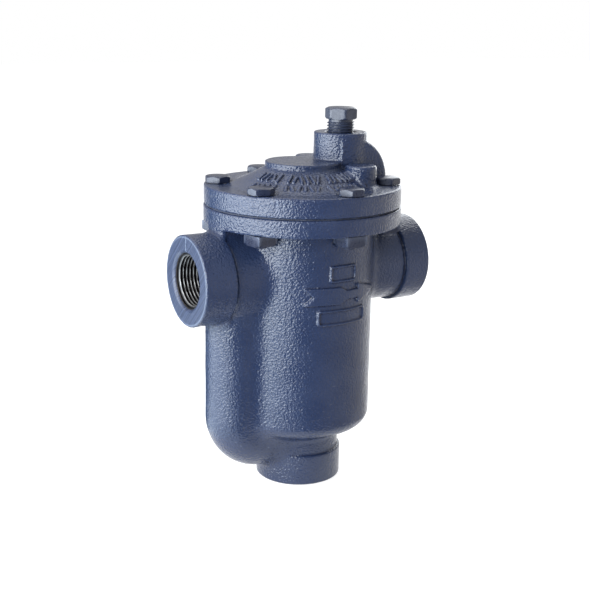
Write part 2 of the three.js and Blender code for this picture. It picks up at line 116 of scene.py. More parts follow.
DOME_FOOT = (34.6, CAP_FLANGE_TOP_Z)  # radius, z
DOME_HEAD = (19.7, 157.9)
DOME_TOP_Z = 158.6
# Rows of raised bars: radius, half-length, first and last angle in degrees, count
BAR_ROWS = ((25.2, 2.8, -172, -50, 21), (32.4, 2.2, -168, -38, 25))
BAR_PROUD = 1.15
BAR_LEAN = 0.32
BARS_IN_GROUP = 7  # one of them left out
BOLT_FLATS, BOLT_HEAD_HEIGHT, BOLT_SHANK_R, BOLT_PITCH = 11.5, 3.2, 3.05, 1.0
BOLT_THREAD_TOP_Z = 128.0
NUT_FLATS, NUT_HOLE_R = 11.1, 3.3
PLUG_FLATS, PLUG_HEAD_HEIGHT = 14.2, 5.7
PIPE_PITCH = 1.814
PIPE_MINOR_R = 12.0
PIPE_MAJOR_R = 13.1
SLEEVE_R = 13.35
SLEEVE_BACK_X = 45.0
PLUG_PITCH = 1.41
PLUG_R = 6.8

# Fillets where the castings' shapes meet
RIB_FILLET = 7.0
PORT_FILLET = 4.0
FLANGE_FILLET = 2.5
DOME_FILLET = 3.0
HUMP_FILLET = 2.0
TEST_BOSS_FILLET = 0.9
# The web under the lower flange, over each port
WEB_X, WEB_HALF_LENGTH, WEB_HALF_WIDTH, WEB_Z, WEB_HALF_HEIGHT = 38, 10, 7, 129, 4

# The castings' grids, and their skin's grain: depth, size across, seed
BODY_VOXEL = 0.5
CAP_VOXEL = 0.42
FIELD_REACH = 3.0
FINE_GRAIN = (0.012, 1.05, 11)
WAVY_GRAIN = (0.10, 9.0, 13)


# ---- Distance fields --------------------------------------------------------------------
def axes_of(low, high, voxel):
    lines = [np.arange(a, b + voxel, voxel, dtype=np.float32) for a, b in zip(low, high)]
    return np.meshgrid(*lines, indexing="ij", sparse=True)


def joined(a, b, fillet=0.0):
    """The union of two fields, with a fillet in the corner between them."""
    if fillet <= 0:
        return np.minimum(a, b)
    near = np.maximum(fillet - np.abs(a - b), 0) / fillet
    return np.minimum(a, b) - near * near * (fillet / 4)


def cut(a, b, rounding=0.0):
    return -joined(-a, b, rounding)


def both(a, b, rounding=0.0):
    """Where a and b are both inside, with the edge between them rounded."""
    a = a + rounding
    b = b + rounding
    outside = np.hypot(np.maximum(a, 0), np.maximum(b, 0))
    return np.minimum(np.maximum(a, b), 0) + outside - rounding


def disc(r, t, radius, low, high, rounding=0.4):
    return both(r - radius, np.abs(t - (low + high) / 2) - (high - low) / 2, rounding)


def polygon_field(u, v, points):
    """Signed distance to a polygon in (u, v)."""
    nearest = np.full(np.broadcast(u, v).shape, 1e9, np.float32)
    sign = np.ones_like(nearest)
    count = len(points)
    for i in range(count):
        (ax, ay), (bx, by) = points[i], points[i - 1]
        ex, ey = bx - ax, by - ay
        wx, wy = u - ax, v - ay
        t = np.clip((wx * ex + wy * ey) / (ex * ex + ey * ey), 0, 1)
        dx, dy = wx - ex * t, wy - ey * t
        nearest = np.minimum(nearest, dx * dx + dy * dy)
        above, below, left = v >= ay, v < by, ex * wy > ey * wx
        crossing = (above & below & left) | (~above & ~below & ~left)
        sign = np.where(crossing, -sign, sign)
    return sign * np.sqrt(nearest)


def rectangle_field(u, v, half_u, half_v, rounding=0.0):
    return both(np.abs(u) - half_u, np.abs(v) - half_v, rounding)


class Block:
    """A box of the grid, so that a small feature is worked out only where it is."""

    def __init__(self, low, high, voxel):
        self.low = np.array(low, float)
        self.voxel = voxel
        self.x, self.y, self.z = axes_of(low, high, voxel)
        self.field = None

    def part(self, low, high):
        picks = []
        for line, a, b in zip((self.x, self.y, self.z), low, high):
            flat = line.ravel()
            picks.append(slice(int(np.searchsorted(flat, a)), int(np.searchsorted(flat, b))))
        x = self.x[picks[0], :, :]
        y = self.y[:, picks[1], :]
        z = self.z[:, :, picks[2]]
        return tuple(picks), x, y, z

    def change(self, low, high, shape):
        """Runs shape(field, x, y, z) on the part of the grid between low and high."""
        where, x, y, z = self.part(low, high)
        self.field[where] = shape(self.field[where], x, y, z)


def bolt_places():
    for i in range(6):
        angle = BOLT_PATTERN + i * math.pi / 3
        yield BOLT_CIRCLE_R * math.cos(angle), BOLT_CIRCLE_R * math.sin(angle)


# ---- Meshes ---------------------------------------------------------------------------
def link(name, mesh):
    piece = bpy.data.objects.new(name, mesh)
    bpy.context.scene.collection.objects.link(piece)
    return piece


def mesh_of(name, points, faces):
    """A smooth mesh from points in millimetres and faces that all have as many corners."""
    faces = np.asarray(faces, np.int32)
    corners = faces.shape[1]
    mesh = bpy.data.meshes.new(name)
    mesh.vertices.add(len(points))
    mesh.vertices.foreach_set("co", (np.asarray(points, np.float32) * MM).ravel())
    mesh.loops.add(faces.size)
    mesh.loops.foreach_set("vertex_index", faces.ravel())
    mesh.polygons.add(len(faces))
    mesh.polygons.foreach_set("loop_start", np.arange(0, faces.size, corners, dtype=np.int32))
    mesh.update(calc_edges=True)
    mesh.validate()
    mesh.shade_smooth()
    return mesh


def value_noise(points, cell, seed):
    """Smooth noise from -1 to 1 at each point, with features about one cell across."""
    size = 64
    lattice = np.random.default_rng(seed).uniform(-1, 1, (size, size, size))
    place = points / cell + 1000.0  # keeps every place positive
    corner = np.floor(place).astype(int)
    t = place - corner
    t = t * t * (3 - 2 * t)
    total = np.zeros(len(points))
    for dx in (0, 1):
        for dy in (0, 1):
            for dz in (0, 1):
                weight = (np.abs(1 - dx - t[:, 0]) * np.abs(1 - dy - t[:, 1])
                          * np.abs(1 - dz - t[:, 2]))
                i, j, k = ((corner + (dx, dy, dz)) % size).T
                total += weight * lattice[i, j, k]
    return total


def normals_of(points, quads):
    a = points[quads[:, 2]] - points[quads[:, 0]]
    b = points[quads[:, 3]] - points[quads[:, 1]]
    face = np.cross(a, b)
    total = np.zeros_like(points)
    for corner in range(4):
        np.add.at(total, quads[:, corner], face)
    return total / np.maximum(np.linalg.norm(total, axis=1), 1e-9)[:, None]


def cast_mesh(name, block, machined, low, high):
    """Meshes the block's field and gives the skin a sand-cast grain, except where the
    machined(points) share is 1. The skin stays between low and high, the CAD node's box."""
    grid = vdb.FloatGrid(background=FIELD_REACH)
    grid.copyFromArray(np.clip(block.field, -FIELD_REACH, FIELD_REACH).astype(np.float32))
    points, quads = grid.convertToQuads(isovalue=0.0)
    points = points.astype(float) * block.voxel + block.low
    quads = quads.astype(np.int32)
    a, b, c, d = (points[quads[:, i]] for i in range(4))
    volume = np.einsum("ij,ij->i", a, np.cross(b, c) + np.cross(c, d)).sum()
    if volume < 0:
        quads = quads[:, ::-1]
    grain = sum(depth * value_noise(points, size, seed)
                for depth, size, seed in (FINE_GRAIN, WAVY_GRAIN))
    lift = grain * (1 - machined(points))
    points = np.clip(points + normals_of(points, quads) * lift[:, None], low, high)
    return mesh_of(name, points, quads), points, quads


def ring_grid(rings, segments, closed):
    """Quads over rings of points. closed joins the last ring to the first."""
    faces = []
    count = rings if closed else rings - 1
    for i in range(count):
        j = (i + 1) % rings
        for k in range(segments):
            m = (k + 1) % segments
            faces.append((i * segments + k, i * segments + m, j * segments + m,
                          j * segments + k))
    return faces


def turned(name, levels, radius_at, segments, centre=(0, 0), turn=0.0):
    """A solid along +Z whose radius may change with angle and height: radius_at(angle,
    z). The levels are its heights, from the bottom to the top; its ends are closed."""
    angles = np.arange(segments) * 2 * math.pi / segments
    points = []
    for z in levels:
        radii = radius_at(angles, z) * np.ones(segments)
        for angle, r in zip(angles + turn, radii):
            points.append((centre[0] + r * math.cos(angle), centre[1] + r * math.sin(angle), z))
    rings = len(levels)
    faces = ring_grid(rings, segments, False)
    bottom, top = len(points), len(points) + 1
    points += [(centre[0], centre[1], levels[0]), (centre[0], centre[1], levels[-1])]
    last = (rings - 1) * segments
    mesh = bpy.data.meshes.new(name)
    for k in range(segments):
        m = (k + 1) % segments
        faces.append((bottom, m, k))
        faces.append((top, last + k, last + m))
    mesh.from_pydata([tuple(c * MM for c in p) for p in points], [], faces)
    mesh.shade_smooth()
    return mesh


def revolved(name, profile, segments, centre=(0, 0)):
    """A closed ring of section profile, (radius, z) points, about +Z."""
    angles = np.arange(segments) * 2 * math.pi / segments
    points = [(centre[0] + r * math.cos(a), centre[1] + r * math.sin(a), z)
              for r, z in profile for a in angles]
    return mesh_of(name, points, ring_grid(len(profile), segments, True))


def soft_prism_radius(angles, sides, flats, sharpness=44):
    """The radius of a regular prism with slightly rounded corners."""
    total = np.zeros_like(angles)
    for i in range(sides):
        facing = np.cos(angles - (i + 0.5) * 2 * math.pi / sides)
        total += (np.maximum(facing, 0) / (flats / 2)) ** sharpness
    return total ** (-1 / sharpness)


def keep_sharp(piece, degrees=32):
    """Marks edges steeper than this as sharp, so that facets stay flat."""
    mesh = piece.data
    mesh.set_sharp_from_angle(angle=math.radians(degrees))


# ---- Material nodes -------------------------------------------------------------------
class Look:
    """A material under construction, with short calls for the nodes used here."""

    def __init__(self, name):
        self.material = bpy.data.materials.new(name)
        self.material.use_nodes = True
        self.tree = self.material.node_tree
        self.shader = self.tree.nodes["Principled BSDF"]
        self.place = self.node("ShaderNodeTexCoord").outputs["Object"]
        self.last_normal = None

    def node(self, kind, **settings):
        made = self.tree.nodes.new(kind)
        for key, value in settings.items():
            setattr(made, key, value)
        return made

    def put(self, socket, value):
        if isinstance(value, bpy.types.NodeSocket):
            self.tree.links.new(value, socket)
        elif isinstance(value, tuple) and len(value) == 3 and socket.type == "RGBA":
            socket.default_value = (*value, 1)
        else:
            socket.default_value = value

    def stretched(self, x, y, z):
        mapping = self.node("ShaderNodeMapping")
        self.put(mapping.inputs["Vector"], self.place)
        mapping.inputs["Scale"].default_value = (x, y, z)
        return mapping.outputs[0]

    def noise(self, scale, detail=2.0, rough=0.5, vector=None):
        made = self.node("ShaderNodeTexNoise")
        self.put(made.inputs["Vector"], self.place if vector is None else vector)
        made.inputs["Scale"].default_value = scale
        made.inputs["Detail"].default_value = detail
        made.inputs["Roughness"].default_value = rough
        return made.outputs["Fac"]

    def spread(self, value, low, high, to_low=0.0, to_high=1.0):
        made = self.node("ShaderNodeMapRange")
        for socket, v in zip(made.inputs, (value, low, high, to_low, to_high)):
            self.put(socket, v)
        return made.outputs[0]

    def math(self, operation, a, b=0.0):
        made = self.node("ShaderNodeMath", operation=operation)
        self.put(made.inputs[0], a)
        self.put(made.inputs[1], b)
        return made.outputs[0]

    def mixed(self, share, a, b):
        made = self.node("ShaderNodeMix", data_type="RGBA")
        self.put(made.inputs["Factor"], share)
        self.put(made.inputs[6], a)
        self.put(made.inputs[7], b)
        return made.outputs[2]

    def bump(self, height, depth_mm, strength=1.0):
        made = self.node("ShaderNodeBump")
        self.put(made.inputs["Height"], height)
        made.inputs["Distance"].default_value = depth_mm * MM
        made.inputs["Strength"].default_value = strength
        if self.last_normal is not None:
            self.put(made.inputs["Normal"], self.last_normal)
        self.last_normal = made.outputs[0]

    def lines(self, place, per_unit):
        """Noise that changes along one number only."""
        made = self.node("ShaderNodeTexNoise", noise_dimensions="1D")
        self.put(made.inputs["W"], place)
        made.inputs["Scale"].default_value = per_unit
        made.inputs["Detail"].default_value = 2
        return made.outputs["Fac"]

    def along(self, axis):
        """One coordinate of the object's frame, in millimetres."""
        split = self.node("ShaderNodeSeparateXYZ")
        self.put(split.inputs[0], self.place)
        return self.math("MULTIPLY", split.outputs[axis], 1 / MM)

    def band(self, axis, middle, half_width):
        """1 on a thin band across an axis, fading to 0 at its sides."""
        away = self.math("ABSOLUTE", self.math("SUBTRACT", self.along(axis), middle))
        return self.spread(away, half_width, 0.4 * half_width)

    def above(self, axis, level):
        return self.spread(self.along(axis), level - 0.2, level + 0.2)

    def port_radius(self):
        """Distance from the ports' axis, in millimetres."""
        up = self.math("SUBTRACT", self.along("Z"), PORT_Z)
        y = self.along("Y")
        return self.math("SQRT", self.math("ADD", self.math("MULTIPLY", y, y),
                                           self.math("MULTIPLY", up, up)))

    def edges(self, low, high):
        """1 on convex edges and crests, 0 on flat faces."""
        return self.spread(self.node("ShaderNodeNewGeometry").outputs["Pointiness"], low, high)

    def crevices(self, low, high):
        """1 in hollow corners, 0 on flat faces."""
        return self.edges(high, low)

    # Mixes edge_colour onto convex edges and crests: a painted highlight
    def painted_highlight(self, colour, edge_colour, low, high, share):
        return self.mixed(self.math("MULTIPLY", self.edges(low, high), share), colour,
                          edge_colour)

    def done(self, colour, roughness, metallic=0.0, **extra):
        self.put(self.shader.inputs["Base Color"], colour)
        self.put(self.shader.inputs["Roughness"], roughness)
        self.put(self.shader.inputs["Metallic"], metallic)
        for key, value in extra.items():
            self.put(self.shader.inputs[key.replace("_", " ")], value)
        if self.last_normal is not None:
            self.put(self.shader.inputs["Normal"], self.last_normal)
        return self.material


NAVY = (0.013, 0.023, 0.060)
NAVY_LIGHT = (0.024, 0.036, 0.078)
# Painted shade: the colour put into the casting's hollow corners
NAVY_CREVICE_SHADE = (0.006, 0.009, 0.026)
# Painted highlight: the colour put on the casting's convex edges
CAST_EDGE_HIGHLIGHT = (0.10, 0.13, 0.20)
FACED_MARK, FACED_PAINT = (0.008, 0.015, 0.040), (0.036, 0.050, 0.100)
# Painted highlight on the faced port's seam and rim
FACED_HIGHLIGHT = (0.20, 0.25, 0.34)
FACED_RIM_R = 21.0
FASTENER_DARK, FASTENER_PAINT = (0.007, 0.012, 0.032), (0.014, 0.020, 0.046)
# Painted highlight on the fasteners' edges
FASTENER_EDGE_HIGHLIGHT = (0.17, 0.21, 0.30)
PLUG_DARK, PLUG_PAINT = (0.014, 0.020, 0.042), (0.024, 0.032, 0.058)
# Painted highlight on the plug's edges, and painted shade in its thread roots
PLUG_EDGE_HIGHLIGHT, PLUG_ROOT_SHADE = (0.16, 0.18, 0.23), (0.006, 0.008, 0.014)
THREAD_DARK, THREAD_CUT = (0.10, 0.10, 0.10), (0.19, 0.185, 0.18)
# Painted shade in the roots of the pipe threads
THREAD_ROOT_SHADE = (0.004, 0.004, 0.005)
IRON_DARK, IRON_LIGHT = (0.035, 0.032, 0.030), (0.080, 0.070, 0.062)
GRAPHITE_DARK, GRAPHITE_LIGHT = (0.006, 0.009, 0.022), (0.014, 0.020, 0.044)
STEEL, DULL_STEEL = (0.62, 0.62, 0.63), (0.50, 0.50, 0.50)
STAIN = (0.62, 0.55, 0.47)  # shares of the steel's own colour


def cast_paint():
    look = Look("cast_paint")
    cloud = look.spread(look.noise(70, 3), 0.35, 0.65)
    speckle = look.spread(look.noise(1500, 2, 0.6), 0.35, 0.7)
    colour = look.mixed(look.math("MULTIPLY", cloud, 0.6), NAVY, NAVY_LIGHT)
    colour = look.mixed(look.math("MULTIPLY", speckle, 0.3), colour, NAVY_LIGHT)
    # Hollow corners and relief outlines darkened: painted shade
    colour = look.mixed(look.crevices(0.44, 0.49), colour, NAVY_CREVICE_SHADE)
    # Convex edges paler: painted highlight
    colour = look.painted_highlight(colour, CAST_EDGE_HIGHLIGHT, 0.56, 0.64, 0.35)
    look.bump(look.noise(1000, 1, 0.5), 0.46, 1.0)
    rough = look.spread(look.noise(900, 2), 0.3, 0.7, 0.10, 0.18)
    return look.done(colour, rough)


def machined_paint():
    """Paint over a faced port: tool marks show through it."""
    look = Look("machined_paint")
    diagonal = look.math("ADD", look.along("Y"), look.along("Z"))
    marks = look.lines(diagonal, 0.75)
    colour = look.mixed(look.spread(marks, 0.35, 0.65), FACED_MARK, FACED_PAINT)
    # The seam over the bore, which a bump below also raises, and the rim of the facing are drawn
    # paler: painted highlight
    seam = look.math("MULTIPLY", look.band("Y", 0, 0.3), look.above("Z", PORT_Z))
    off_rim = look.math("ABSOLUTE", look.math("SUBTRACT", look.port_radius(), FACED_RIM_R))
    rim = look.math("MULTIPLY", look.spread(off_rim, 0.45, 0.15), 0.5)
    painted_highlight = look.math("MULTIPLY", look.math("MAXIMUM", seam, rim), 0.7)
    colour = look.mixed(painted_highlight, colour, FACED_HIGHLIGHT)
    look.bump(marks, 0.10, 0.7)
    look.bump(look.noise(900, 2), 0.08, 0.5)
    look.bump(seam, 0.15, 0.8)
    return look.done(colour, look.spread(look.noise(500), 0.3, 0.7, 0.3, 0.42))


def fastener_paint():
    look = Look("fastener_paint")
    cloud = look.spread(look.noise(220, 3), 0.35, 0.65)
    colour = look.mixed(cloud, FASTENER_DARK, FASTENER_PAINT)
    # Edges paler: painted highlight
    colour = look.painted_highlight(colour, FASTENER_EDGE_HIGHLIGHT, 0.55, 0.7, 0.6)
    look.bump(look.noise(420, 2), 0.06, 0.5)
    look.bump(look.noise(1500, 2), 0.04, 0.5)
    return look.done(colour, look.spread(look.noise(600), 0.3, 0.7, 0.24, 0.36))


def plug_paint():
    look = Look("plug_paint")
    cloud = look.spread(look.noise(260, 3), 0.35, 0.65)
    colour = look.mixed(cloud, PLUG_DARK, PLUG_PAINT)
    # Edges paler: painted highlight
    colour = look.painted_highlight(colour, PLUG_EDGE_HIGHLIGHT, 0.56, 0.68, 0.5)
    # Thread roots and hollow corners darker: painted shade
    colour = look.mixed(look.crevices(0.36, 0.46), colour, PLUG_ROOT_SHADE)
    look.bump(look.noise(700, 3), 0.06, 0.5)
    return look.done(colour, look.spread(look.noise(600), 0.3, 0.7, 0.26, 0.40))


def cut_iron():
    """Cast iron threads: crests cut bright, and roots darkened with painted shade."""
    look = Look("cut_iron")
    root = look.spread(look.port_radius(), PIPE_MINOR_R + 0.15, PIPE_MINOR_R + 0.75)
    bright = look.mixed(look.spread(look.noise(500, 3), 0.3, 0.7), THREAD_DARK, THREAD_CUT)
    # Roots darker: painted shade
    colour = look.mixed(root, bright, THREAD_ROOT_SHADE)
    look.bump(look.noise(2200, 2), 0.03, 0.5)
    return look.done(colour, look.spread(look.noise(900), 0.3, 0.7, 0.26, 0.44), 0.75)


def raw_iron():
    """The unpainted inside of the casting."""
    look = Look("raw_iron")
    colour = look.mixed(look.spread(look.noise(160, 4), 0.35, 0.65), IRON_DARK, IRON_LIGHT)
    look.bump(look.noise(900, 3, 0.6), 0.15, 0.8)
    return look.done(colour, 0.62, 0.35)


def graphite():
    look = Look("graphite_sheet")
    colour = look.mixed(look.noise(900, 3), GRAPHITE_DARK, GRAPHITE_LIGHT)
    look.bump(look.noise(1400, 3), 0.05, 0.6)
    return look.done(colour, 0.75)


def brushed_steel(name, tint, x, y, z):
    """Steel with fine scratches; the longest are across the largest of x, y and z."""
    look = Look(name)
    scratches = look.noise(500, 4, 0.7, look.stretched(x, y, z))
    stain = look.spread(look.noise(80, 3), 0.4, 0.75)
    colour = look.mixed(look.spread(scratches, 0.3, 0.7), tuple(c * 0.8 for c in tint), tint)
    colour = look.mixed(look.math("MULTIPLY", stain, 0.25), colour,
                        tuple(c * f for c, f in zip(tint, STAIN)))
    look.bump(scratches, 0.012, 0.5)
    return look.done(colour, look.spread(scratches, 0.3, 0.7, 0.2, 0.38), 1.0)


# ---- Body -----------------------------------------------------------------------------
def rib_field(x, y, z):
    """The half-round rib over the inlet passage, along its bent centreline."""
    bend_x = RIB_X + RIB_BEND_R
    bend_z = RIB_FLOOR_Z + RIB_BEND_R
    u, w = x - bend_x, z - bend_z
    upright = np.hypot(x - RIB_X, np.maximum(np.maximum(-w, z - PORT_Z), 0))
    under = np.hypot(z - RIB_FLOOR_Z, np.maximum(np.maximum(-u, x), 0))
    bend = np.where((u < 0) & (w < 0), np.abs(np.hypot(u, w) - RIB_BEND_R), 1e3)
    away = np.minimum(np.minimum(upright, under), bend)
    return np.hypot(away, y) - RIB_R


def inlet_passage_field(x, y, z):
    bend_r = INLET_BORE_BEND_R
    bx, bz = RIB_X + RIB_BEND_R, RIB_FLOOR_Z + RIB_BEND_R
    u, w = x - bx, z - bz
    upright = np.hypot(x - (bx - bend_r), np.maximum(np.maximum(-w, z - PORT_Z), 0))
    under = np.hypot(z - (bz - bend_r), np.maximum(np.maximum(-u, x), 0))
    riser = np.hypot(x, np.maximum(np.maximum(bz - bend_r - z, z - INLET_RISER_TOP_Z), 0))
    bend = np.where((u < 0) & (w < 0), np.abs(np.hypot(u, w) - bend_r), 1e3)
    away = np.minimum(np.minimum(upright, under), np.minimum(riser, bend))
    return np.hypot(away, y) - INLET_PASSAGE_R


def port_field(x, y, z, side):
    along = x * side
    r = np.hypot(y, z - PORT_Z)
    back = COLLAR_BACK_X[side]
    neck = disc(r, along, NECK_R, 10, back + 3, 0.5)
    rounding = COLLAR_R - PORT_FACE_R
    collar = disc(r, along, COLLAR_R, 30, FACE_X, rounding)
    collar = both(collar, back - along, 0.6)
    groove = rectangle_field(along - back + 0.4, r - NECK_R, 0.5, 0.7, 0.2)
    return cut(joined(neck, collar, 0.3), groove, 0.3)


def flow_arrow():
    return [(-22.2, 4.2), (-18.4, 0), (-22.2, -4.2), (-5, -4.2), (-2.2, -2.2), (5.6, -2.2),
            (5.6, -4.8), (21, 0.4), (5.6, 4.8), (5.6, 2.2), (-2.2, 2.2), (-5, 4.2)]


def body_relief(field, x, y, z):
    """The flow arrow, and a blank raised frame above it and below it."""
    u = x * math.cos(RELIEF_TURN) + y * math.sin(RELIEF_TURN)
    r = np.hypot(x, y)
    arrow = polygon_field(u, z - ARROW_Z, flow_arrow())
    field = joined(field, both(arrow, r - BODY_R - ARROW_PROUD, 0.2), 0.2)
    for at_u, at_z, half_u, half_v in BLANK_FRAMES:
        frame_field = np.abs(rectangle_field(u - at_u, z - at_z, half_u, half_v, 1.0)) - 0.5
        field = joined(field, both(frame_field, r - BODY_R - FRAME_PROUD, 0.2), 0.2)
    return field


def body_block():
    block = Block((-FACE_X - 2, -BODY_FLANGE_R - 2, -2),
                  (FACE_X + 2, BODY_FLANGE_R + 2, BODY_TOP_Z + 2), BODY_VOXEL)
    x, y, z = block.x, block.y, block.z
    r = np.hypot(x, y)
    outward, down = CUP_FLOOR_SLOPE
    slope = down * (CUP_CORNER_Z - z) + outward * (r - CUP_CORNER_R)
    field = both(disc(r, z, BODY_R, 10, 200, 0.5), slope, 4.0)
    field = joined(field, disc(r, z, BOSS_NECK_R, 2, 40, 0.5), 2.5)
    field = joined(field, rib_field(x, y, z), RIB_FILLET)
    for side in (-1, 1):
        field = joined(field, port_field(x, y, z, side), PORT_FILLET)
        web = both(np.abs(x * side - WEB_X) - WEB_HALF_LENGTH, np.abs(y) - WEB_HALF_WIDTH, 2)
        web = both(web, np.abs(z - WEB_Z) - WEB_HALF_HEIGHT, 1)
        field = joined(field, web, PORT_FILLET)
    field = joined(field, disc(r, z, BOSS_R, 0, BOSS_TOP_Z, 0.7), 0.6)
    flange = disc(r, z, BODY_FLANGE_R, FLANGE_UNDERSIDE_Z, 200, 0.8)
    field = joined(field, flange, FLANGE_FILLET)
    field = both(field, z - BODY_TOP_Z, 0.35)
    block.field = field.astype(np.float32)
    block.change((-27, -40, 82), (30, -22, 120), body_relief)
    cut_body(block)
    return block


def cut_body(block):
    x, y, z = block.x, block.y, block.z
    r = np.hypot(x, y)
    room = disc(r, z, CHAMBER_R, CHAMBER_FLOOR_Z, 200, 10)
    block.field = cut(block.field, room, 0.6)

    def port_hole(side):
        def change(field, x, y, z):
            along = x * side
            r = np.hypot(y, z - PORT_Z)
            bore = disc(r, along, SLEEVE_R + 0.1, SLEEVE_BACK_X, 90, 0.2)
            inner_r = INLET_PASSAGE_R if side < 0 else OUTLET_INNER_R
            bore = joined(bore, disc(r, along, inner_r, 36, 60, 0.2))
            sink = r - (COUNTERSINK_R - (FACE_X - along))
            return cut(cut(field, bore), sink, 0.3)
        return change

    block.change((-FACE_X - 2, -16, PORT_Z - 16), (-34, 16, PORT_Z + 16), port_hole(-1))
    block.change((34, -16, PORT_Z - 16), (FACE_X + 2, 16, PORT_Z + 16), port_hole(1))

    block.change((-50, -8, 10), (8, 8, PORT_Z + 8),
                 lambda field, x, y, z: cut(field, inlet_passage_field(x, y, z)))

    def outlet_passage(field, x, y, z):
        hole = disc(np.hypot(x - OUTLET_PASSAGE_X, y), z, OUTLET_PASSAGE_R, PORT_Z, 200, 0.1)
        return cut(field, hole)

    block.change((30, -6, PORT_Z - 2), (43, 6, BODY_TOP_Z + 3), outlet_passage)

    for bx, by in bolt_places():
        def bolt_cut(field, x, y, z, bx=bx, by=by):
            r = np.hypot(x - bx, y - by)
            hole = disc(r, z, BOLT_HOLE_R, BOLT_ROOM_Z, 200, 0.1)
            pocket = disc(r, z, NUT_POCKET_R, NUT_POCKET_Z, FLANGE_UNDERSIDE_Z, 0.4)
            return cut(cut(field, pocket, 1.0), hole)
        block.change((bx - 10, by - 10, NUT_POCKET_Z - 3), (bx + 10, by + 10, BODY_TOP_Z + 3),
                     bolt_cut)


def port_radius(points):
    return np.hypot(points[:, 1], points[:, 2] - PORT_Z)


def body_machined(points):
    faced = (np.abs(points[:, 0]) > FACE_X - 0.4) & (port_radius(points) < PORT_FACE_R + 0.6)
    bore = (np.abs(points[:, 0]) > SLEEVE_BACK_X - 1) & (port_radius(points) < 14.2)
    top = points[:, 2] > BODY_TOP_Z - 0.2
    return (faced | bore | top).astype(float)


def make_body(paint, faced, raw):
    mesh, points, quads = cast_mesh("trap_body", body_block(), body_machined,
                                    body_low, body_high)
    for material in (paint, faced, raw):
        mesh.materials.append(material)
    middle = points[quads].mean(axis=1)
    port_r = np.hypot(middle[:, 1], middle[:, 2] - PORT_Z)
    out = np.abs(middle[:, 0])
    r = np.hypot(middle[:, 0], middle[:, 1])
    index = np.zeros(len(middle), np.int32)
    index[(out > FACE_X - 1.6) & (port_r < PORT_FACE_R + 0.1)] = 1
    in_chamber = (r < CHAMBER_R + 0.4) & (middle[:, 2] > CHAMBER_FLOOR_Z - 0.5)
    in_port = (port_r < SLEEVE_R + 0.3) & (out < FACE_X - 1.2) & (out > BODY_R - 3)
    in_rib = inlet_passage_field(*middle.T) < 0.4
    in_joint = (middle[:, 2] > BODY_TOP_Z - 0.1) & (r < BODY_FLANGE_R - 1.2)
    index[in_chamber | in_port | in_rib | in_joint] = 2
    mesh.polygons.foreach_set("material_index", index)
    return link("trap_body", mesh)


# ---- Cap ------------------------------------------------------------------------------
def hump_field(x, y, z):
    """The outlet elbow: a quarter-round across Y, behind the test boss."""
    hx, hz, radius, half_width = HUMP
    u, w = np.maximum(x - hx, 0), np.maximum(z - hz, 0)
    sides = np.maximum(np.abs(y) - half_width, hx - HUMP_DEPTH - x)
    return both(np.hypot(u, w) - radius, sides, HUMP_ROUNDING)


def cone_field(r, z):
    (foot_r, foot_z), (head_r, head_z) = DOME_FOOT, DOME_HEAD
    run, rise = foot_r - head_r, head_z - foot_z
    return ((r - foot_r) * rise + (z - foot_z) * run) / math.hypot(run, rise)


def cap_relief(field, x, y, z):
    """Two arcs of plain raised bars, in groups, each leaning its own way, on the dome."""
    r = np.hypot(x, y)
    height = cone_field(r, z)
    rng = np.random.default_rng(5)
    for row_r, half_length, first, last, count in BAR_ROWS:
        for number, angle in enumerate(np.radians(np.linspace(first, last, count))):
            lean = rng.uniform(-BAR_LEAN, BAR_LEAN)
            if number % BARS_IN_GROUP == BARS_IN_GROUP - 2:
                continue
            out = x * math.cos(angle) + y * math.sin(angle) - row_r
            side = y * math.cos(angle) - x * math.sin(angle)
            radial = out * math.cos(lean) + side * math.sin(lean)
            across = side * math.cos(lean) - out * math.sin(lean)
            half_width = 0.55 + 0.35 * rng.random()
            bar = rectangle_field(radial, across, half_length * (0.85 + 0.3 * rng.random()),
                                  half_width, 0.3)
            bar = np.maximum(bar, -out - row_r)
            field = joined(field, both(bar, height - BAR_PROUD, 0.2), 0.25)
    return field


def cap_block():
    reach = CAP_FLANGE_R + 2
    low = (-reach, -reach, CAP_BOTTOM_Z - 2)
    block = Block(low, (reach, reach, TEST_BOSS_TOP_Z + 2), CAP_VOXEL)
    x, y, z = block.x, block.y, block.z
    r = np.hypot(x, y)
    field = disc(r, z, CAP_FLANGE_R, 120, CAP_FLANGE_TOP_Z, 1.0)
    cone = np.maximum(np.maximum(cone_field(r, z), z - DOME_TOP_Z), r - 36)
    field = joined(field, cone, DOME_FILLET)
    block.field = field.astype(np.float32)
    block.change((-37, -37, 148), (37, 8, 163), cap_relief)
    field = joined(block.field, disc(r, z, PAD_R, 140, PAD_TOP_Z, 0.6), 1.0)
    for angle in LUG_ANGLES:
        away = np.hypot(x - LUG_CIRCLE_R * math.cos(angle), y - LUG_CIRCLE_R * math.sin(angle))
        field = joined(field, disc(away, z, LUG_R, 145, LUG_TOP_Z, 1.2), FLANGE_FILLET)
    field = joined(field, hump_field(x, y, z), HUMP_FILLET)
    boss = disc(np.hypot(x - TEST_X, y), z, TEST_BOSS_R, 145, TEST_BOSS_TOP_Z, 0.8)
    field = joined(field, boss, TEST_BOSS_FILLET)
    field = both(field, CAP_BOTTOM_Z - z, 0.35)
    block.field = field.astype(np.float32)
    cut_cap(block)
    return block


